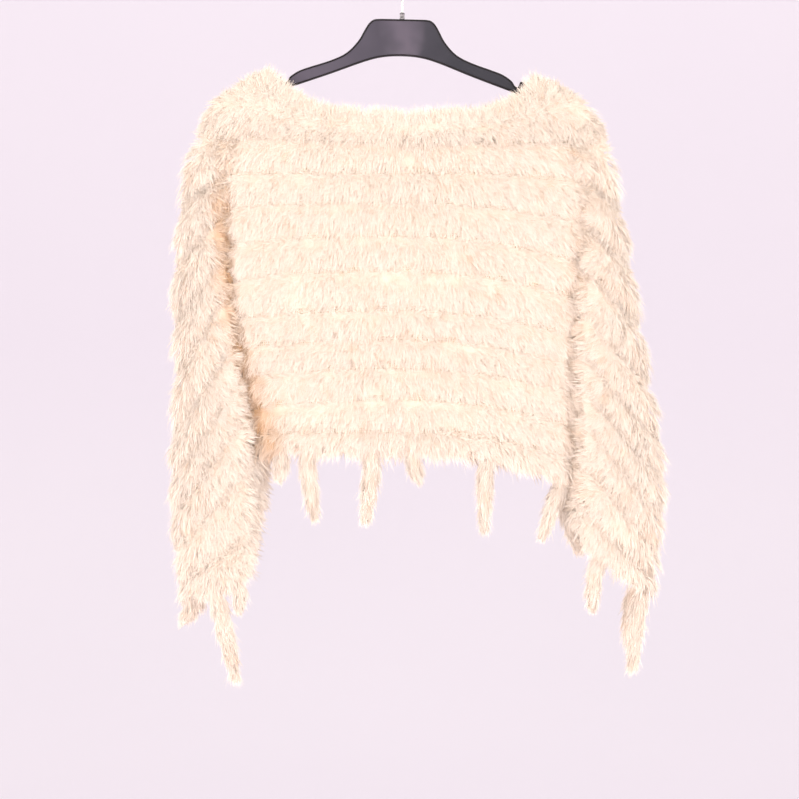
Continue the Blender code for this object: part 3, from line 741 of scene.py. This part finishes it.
fur_rows = {}
for face in FACES:
    fur_rows[face] = []
    for row, (start, end) in enumerate(zip(strip_starts, strip_ends), 1):
        column = np.linspace(-SEAM, SEAM, 141)
        over = np.array((0, 0.08, 0.25, 0.45, 0.65, 0.85, 1.0))
        points, across, _, outward = cloth_frame(face, column[:, None], mix(start, end, over)[None, :])
        full = fur_share(column)[:, None]
        height = PILE * UNDERCOAT * full * roll(over) * 0.6
        height = height * (1 + lumps(column[:, None], over[None, :] * 3, row * 2 + (face == "back")))
        crown = points + outward * (FUR_SEAT + height)[..., None]
        leather = (points + outward * FUR_SEAT)[:, (-1, 0)]
        rings = np.concatenate((crown, leather), axis=1)
        skins = np.concatenate(
            (soften(face, rolled(across, outward, over, full)[1]), -outward[:, (-1, 0)]), axis=1
        )
        # Painted shade: the undercoat is tinted a little toward tan for the shade inside the pile, and more
        # in the creases.
        painted_shade = 0.12 + 0.8 * painted_crease_shade(column[:, None], points)
        tints = np.concatenate((painted_shade, np.ones((len(column), 2))), axis=1)
        way = slice(None, None, 1 if face == "front" else -1)
        undercoat = shell(rings[:, way], skins[:, way], tints[:, way])

        locks = HAIRS[face] // LOCK_HAIRS
        column = spread_columns(face, start, end, locks)
        over = rng.random(locks) ** 1.2
        # Hair of the creases, the drapes and under the neck band also covers the bare knit above its strip
        close = np.interp(np.abs(column), (5.2, 5.8, 7.5), (0, 0.2, 0.24)) if row > 1 else 0.35
        over = mix(-close, 1, over)
        root, across, _, outward = cloth_frame(face, column, mix(start, end, over))
        full = fur_share(column)
        root = root + outward * (FUR_SEAT + PILE * UNDERCOAT * full * roll(over) * 0.9)[:, None]
        straight_down, outward = rolled(across, outward, over, full)
        # From the centre line out to the crease, and from the drape back over it
        reach = (0, 1.5, 4, 5, 6, 6.1, 7.5, 9, 12.9)
        sweep = np.interp(np.abs(column), reach, (0, 0.3, 0.4, 0.45, 0.3, -0.3, -0.5, 0, 0.8))
        sweep = sweep * np.where(np.abs(column) > 9, 1.0, np.where(column < 0, 1.5, 2.4))
        clear = below_crease(column, root)
        sweep = np.where(np.abs(column) < 9, sweep * (1 - clear), sweep)
        comb = np.interp(over, (-0.3, -0.1, 0, 0.12, 0.3), (1.0, 0.5, -0.3, 0.3, 1.0))[:, None]
        fall = (0.6 * straight_down + np.array((0, 0, -0.6))) * comb
        flow = unit(fall + (sweep * np.sign(column))[:, None] * across + rng.normal(0, 0.24, (locks, 3)))
        flow = unit(flow - outward * np.sum(flow * outward, axis=1, keepdims=True))
        hang = np.where(rng.random(locks) < np.where(np.abs(column) > 7, 0.7, 0.45), 1.35, 1.0)
        length = GUARD_HAIR * mix(0.5, 1.0, full) * rng.uniform(0.8, 1.05, locks)
        length = length * np.where(over > 0.6, hang, 1.0)
        if row == len(ROW_HEIGHTS):
            length = length * np.interp(column, (-8, -5, 5, 7), (1.0, 1.2, 1.2, 0.9))
        length = length * np.interp(over, (0, 0.2, 0.35), (0.6, 0.8, 1.0))
        length = length * np.interp(np.abs(column), (6.5, 8), (1.0, 1.12))
        lift = mix(0.4, 0.55, full) * rng.uniform(0.75, 1.2, locks) * np.where(over > 0.6, 0.75, 1.0)
        lift = lift + np.interp(over, (0, 0.15, 0.3), (0.3, 0.2, 0.0))
        lift = lift + 0.8 * (1 - clear) * (1 - ease(np.clip(np.abs(np.abs(column) - FOLD) - 0.4, 0, 1)))
        edge = ease(np.clip((np.abs(column) - 10) / 2.5, 0, 1))
        length, lift = length * mix(1.0, 1.4, edge), lift + 0.15 * edge
        # Painted shade: hair in the creases is tinted tan where shade falls.
        painted_shade = painted_crease_shade(column, root) * rng.uniform(0.5, 1.2, locks)
        lay = mix(0.05, 0.15, full)
        hair = grow(face, root, outward, flow, painted_shade, length, lift, lay, 3.8 * MM, 0.45, HAIR_WIDTH[face])
        strip = fur_piece(f"fur_row_{face}_{row:02d}", f"fur_{face}_{row:02d}", [undercoat, hair])
        fur_rows[face].append(strip)


# Neck band: a narrower strip of the same pelt round the neck edge, its pile brushed up over the edge and
# outwards, and lying down over the first row below.
BAND_PILE = 14 * MM
BAND_HAIR = 21 * MM
for face in FACES:
    end = (NECK_BAND - BARE_KNIT / 2) / PANEL_DROP
    column = np.linspace(-SEAM, SEAM, 141)
    over = np.array((0, 0.2, 0.45, 0.7, 0.9, 1.0))
    points, _, _, outward = cloth_frame(face, column[:, None], (over * end)[None, :])
    profile = np.interp(over, (0, 0.2, 0.6, 0.9, 1), (0.4, 0.9, 1.0, 0.6, 0.1))
    height = BAND_PILE * UNDERCOAT * mix(0.6, 1, fur_share(column))[:, None] * profile
    height = height * (1 + lumps(column[:, None], over[None, :] * 3, 40 + (face == "back")))
    crown = points + outward * (FUR_SEAT + height)[..., None]
    leather = (points + outward * FUR_SEAT)[:, (-1, 0)]
    rings = np.concatenate((crown, leather), axis=1)
    skins = np.concatenate((soften(face, outward), -outward[:, (-1, 0)]), axis=1)
    way = slice(None, None, 1 if face == "front" else -1)
    # Painted shade: the band's undercoat is tinted a little toward tan for the shade inside the pile.
    undercoat = shell(rings[:, way], skins[:, way], np.full(rings.shape[:2], 0.12))

    locks = int(HAIRS[face] * 1.1) // LOCK_HAIRS
    column = spread_columns(face, 0, end, locks)
    over = rng.random(locks)
    root, across, down, outward = cloth_frame(face, column, over * end)
    full = mix(0.6, 1, fur_share(column))
    height = BAND_PILE * UNDERCOAT * full * np.interp(over, (0.5, 1), (0.7, 0.4))
    root = root + outward * (FUR_SEAT + height)[:, None]
    sweep = 0.45 * np.tanh(column / 3.0)[:, None]
    rising = np.clip(1.15 - 2.2 * (over + rng.normal(0, 0.2, locks)), -1, 1)[:, None]
    foot = ease(np.clip((over - 0.5) / 0.4, 0, 1)) * np.interp(np.abs(column), (3, 8), (0.5, 1.0))
    fall = foot[:, None] * np.array((0, 0, -1.3))
    aside = sweep * across * (1 - 0.7 * foot)[:, None]
    flow = unit(-down * rising + fall + aside + rng.normal(0, 0.2, (locks, 3)))
    flow = unit(flow - outward * np.sum(flow * outward, axis=1, keepdims=True))
    length = BAND_HAIR * mix(0.7, 1.0, full) * rng.uniform(0.8, 1.1, locks)
    length = length * mix(np.where(over < 0.3, 1.25, 1.0), 1.6, foot)
    lift = 0.75 * rng.uniform(0.7, 1.2, locks) * mix(1.0, 0.35, foot)
    painted_shade, lay = np.zeros(locks), np.full(locks, 0.3)
    hair = grow(face, root, outward, flow, painted_shade, length, lift, lay, 3.2 * MM, 0.5, HAIR_WIDTH[face])
    fur_piece(f"fur_neck_band_{face}", f"neck_band_{face}", [undercoat, hair])


# Fringe: a narrow strip sewn along the hem edge, with soft tails of the same fur hanging from it, each
# twisted round itself, fullest at its middle, with a soft rounded end.
HEM_STRIP = 7 * MM
HEM_STRIP_IN_CREASE = 3 * MM
TAILS = {
    "front": (
        ("left", 3.6, 52, 22, -4), ("left", 2.57, 108, 26, 12), ("left", 0.48, 110, 28, -12),
        ("right", 0.08, 50, 23, 12), ("right", 1.73, 114, 24, -4), ("right", 4.8, 88, 19, -34),
        ("right", 5.8, 96, 21, 16), ("right", 8.93, 84, 25, -16), ("right", 12.3, 128, 27, -15),
        ("left", 12.4, 42, 18, -22), ("left", 9.9, 138, 26, 34), ("left", 8.2, 50, 17, 0),
    ),
    "back": (
        ("left", 3.6, 42, 18, -4), ("left", 2.57, 86, 21, 10), ("left", 0.48, 90, 22, -10),
        ("right", 1.73, 92, 20, -3), ("right", 4.8, 66, 16, -25), ("right", 8.93, 64, 19, -12),
        ("right", 11.6, 104, 21, -14), ("left", 11.6, 34, 16, -8), ("left", 9.9, 108, 20, 27),
    ),
}  # side, column of the hem, length, width and sideways lean of the tip in millimetres
TURNED_BACK = 0.85  # hair that points backwards more than this is shaded for the back


def along_tail(values, t):
    """A tail's places or ways at any share of its length."""
    at = np.linspace(0, 1, len(values))
    return np.stack([np.interp(t, at, values[:, k]) for k in range(3)], axis=1)


for face in FACES:
    column = np.linspace(-SEAM, SEAM, 141)
    hem, along, _, outward = cloth_frame(face, column, np.ones(len(column)))
    down = unit(np.cross(along, outward))
    down = down * -np.sign(down[:, 2:])
    strip = np.interp(np.abs(column), (5, 6, 7), (HEM_STRIP, HEM_STRIP_IN_CREASE, HEM_STRIP))[:, None]
    corners = ((0.3 * MM, 1), (0.3 * MM, -1), (strip, -1), (strip, 1))
    ring = np.stack([hem + down * low + outward * side * KNIT_WALL / 2 for low, side in corners], axis=1)
    skins = np.stack([outward * side for _, side in corners], axis=1)
    way = slice(None, None, 1 if face == "back" else -1)
    # Painted shade: the hem strip is tinted a little toward tan for the shade under the fringe.
    parts = [shell(ring[:, way], skins[:, way], np.full(ring.shape[:2], 0.2))]
    for side, at, length, width, lean in TAILS[face]:
        at = np.array([-at if side == "left" else at])
        place, along, _, outward = (values[0] for values in cloth_frame(face, at, np.ones(1)))
        down = np.cross(along, outward)
        down = unit(down * -np.sign(down[2]))
        root = place + down * 3.5 * MM
        leave = root + down * length * MM * 0.3
        point = root + np.array((lean, 0, -length)) * MM
        t = np.linspace(0, 1, 15)[:, None]
        core = root * (1 - t) ** 2 + leave * 2 * t * (1 - t) + point * t * t
        radius = np.interp(t[:, 0], (0, 0.2, 0.48, 0.8, 1), (0.6, 0.85, 1.0, 0.8, 0.35)) * width * MM / 2
        ways = unit(np.gradient(core, axis=0))
        sideways = unit(np.cross(ways, np.array((0, 1.0, 0))))
        forward = np.cross(sideways, ways)
        turns = np.linspace(2 * np.pi, 0, 9)[:-1, None]
        aside, ahead = sideways[:-2, None] * np.cos(turns), forward[:-2, None] * np.sin(turns)
        spokes = aside + ahead
        inner = radius[:-2] * np.interp(t[:-2, 0], (0.5, 0.9), (0.7, 0.4))
        heart = core[:-2, None] + (aside + ahead * 0.5) * inner[:, None, None]
        seen = np.where(spokes[..., 1:2] < TURNED_BACK, soften("front", spokes), soften("back", spokes))
        # The tails' hearts take a paler colour, with only a faint tan tint of painted shade.
        parts.append(shell(heart, seen, np.full(heart.shape[:2], 0.05), 0.8))

        locks = max(int(length * (1.6 if face == "front" else 0.8)) // (1), 8)
        t = rng.random(locks) ** 0.9 * 0.93
        centre, way = along_tail(core, t), unit(along_tail(ways, t))
        angle = rng.uniform(0, 2 * np.pi, locks)[:, None]
        aside, ahead = along_tail(sideways, t) * np.cos(angle), along_tail(forward, t) * np.sin(angle)
        out = unit(aside * 0.7 + ahead)
        thick = np.interp(t, (0, 0.3, 0.7, 1), (1.0, 1.15, 0.95, 0.2))[:, None] * width * MM / 2
        start = centre + (aside + ahead * 0.5) * thick * 0.6
        reach = np.clip((1.08 - t) * length * MM, 11 * MM, 26 * MM) * rng.uniform(0.8, 1.1, locks)
        inside = out[:, 1] * FACES[face][0] < 0
        lift = 0.45 * rng.uniform(0.4, 1.4, locks) * np.where(inside, 0.3, 1.0)
        lift = lift * np.interp(t, (0.55, 0.93), (1.0, 0.3))
        turned = out[:, 1] >= TURNED_BACK
        for seen_from, chosen in (("front", ~turned), ("back", turned)):
            still, lying = np.zeros(chosen.sum()), np.full(chosen.sum(), -0.05)
            grown = (start[chosen], out[chosen], way[chosen], still, reach[chosen], lift[chosen], lying)
            parts.append(grow(seen_from, *grown, 2.4 * MM, 0.3, 0.6 * MM))
    fur_piece(f"fur_fringe_{face}", f"fringe_{face}", parts)


# The cut of each face: the knit was made as one shaped panel, with its strips, band and fringe sewn on flat.
for face in FACES:
    shares, columns = np.linspace(0, 1, 60), np.linspace(-SEAM, SEAM, 200)
    points = cloth(face, columns[None, :], shares[:, None])
    across, down = np.diff(points, axis=1)[:-1], np.diff(points, axis=0)[:, :-1]


# Studio: a pale floor that sweeps up into a pale backdrop well behind the garment, soft light from large
# panels in front and above, and a level camera at the garment's middle.
FLOOR = -2.05
BACKDROP_TOP = 7.0
SWEEP_START, SWEEP_RADIUS = 9.4, 1.6

# Backdrop paper: matt and pale with a cool cast, hardly mottled.
pale_paper, shader = new_material("pale_backdrop_paper")
coords = add_node(pale_paper, "ShaderNodeTexCoord")
mottle = add_node(
    pale_paper, "ShaderNodeTexNoise", {"Scale": 0.8, "Detail": 2.0}, {"Vector": coords.outputs["Object"]}
)
tone = add_node(pale_paper, "ShaderNodeMix", links={"Factor": mottle.outputs["Fac"]}, data_type="RGBA")
tone.inputs[6].default_value = linear("#f0e9f4")
tone.inputs[7].default_value = linear("#f4edf7")
feed(pale_paper, tone.outputs[2], shader, "Base Color")
shader.inputs["Roughness"].default_value = 0.95
profile = [(-13.0, FLOOR)]
profile += [
    (SWEEP_START + SWEEP_RADIUS * math.sin(turn), FLOOR + SWEEP_RADIUS * (1 - math.cos(turn)))
    for turn in np.linspace(0, math.pi / 2, 16)
]
profile += [(SWEEP_START + SWEEP_RADIUS, BACKDROP_TOP)]
sweep_points = np.array([(x, y, z) for y, z in profile for x in (-12.0, 12.0)])
backdrop = array_mesh("backdrop_sweep", sweep_points, grid_faces(len(profile), 2))
backdrop.data.materials.append(pale_paper)


def panel_light(name, place, aim, size, power, colour="#ffffff"):
    light = bpy.data.lights.new(name, "AREA")
    light.shape = "RECTANGLE"
    light.size, light.size_y = size
    light.energy = power
    light.color = linear(colour)[:3]
    lamp = bpy.data.objects.new(name, light)
    lamp.location = place
    lamp.rotation_euler = (Vector(aim) - Vector(place)).to_track_quat("-Z", "Y").to_euler()
    bpy.context.scene.collection.objects.link(lamp)


panel_light("right_panel", (2.7, -2.3, -0.5), (0, 0, -0.65), (2.4, 2.4), 54, "#fff8f2")
panel_light("left_panel", (-2.7, -2.3, -0.5), (0, 0, -0.65), (2.4, 2.4), 60, "#fff8f2")
panel_light("right_rim_panel", (3.0, 0.7, -0.5), (0, 0, -0.65), (2.4, 2.4), 37, "#fff8f2")
panel_light("left_rim_panel", (-3.0, 0.7, -0.5), (0, 0, -0.65), (2.4, 2.4), 44, "#fff8f2")
panel_light("front_panel", (0, -5.6, -0.3), (0, 0, -0.65), (2.4, 1.6), 68, "#fff8f2")
panel_light("rear_panel", (0, 3.6, 1.7), (0, 0, -0.65), (2.4, 1.6), 75, "#fffaf6")
panel_light("top_panel", (0, -0.6, 2.2), (0, 0, -0.6), (2.5, 1.5), 5)
panel_light("backdrop_panel", (0, 7.5, 4.5), (0, 11.0, 0), (6.0, 2.0), 61)
world = bpy.data.worlds.new("studio")
world.use_nodes = True
world.node_tree.nodes["Background"].inputs["Color"].default_value = linear("#fbf8f2")
world.node_tree.nodes["Background"].inputs["Strength"].default_value = 0.88
bpy.context.scene.world = world
bpy.context.scene.view_settings.view_transform = "Standard"

camera = bpy.data.cameras.new("camera")
camera.lens = 250
camera.sensor_width = 36
viewer = bpy.data.objects.new("camera", camera)
viewer.location = (-0.004, -8.35, -0.642)
viewer.rotation_euler = (math.pi / 2, 0, 0)
bpy.context.scene.collection.objects.link(viewer)
bpy.context.scene.camera = viewer

bpy.context.view_layer.update()
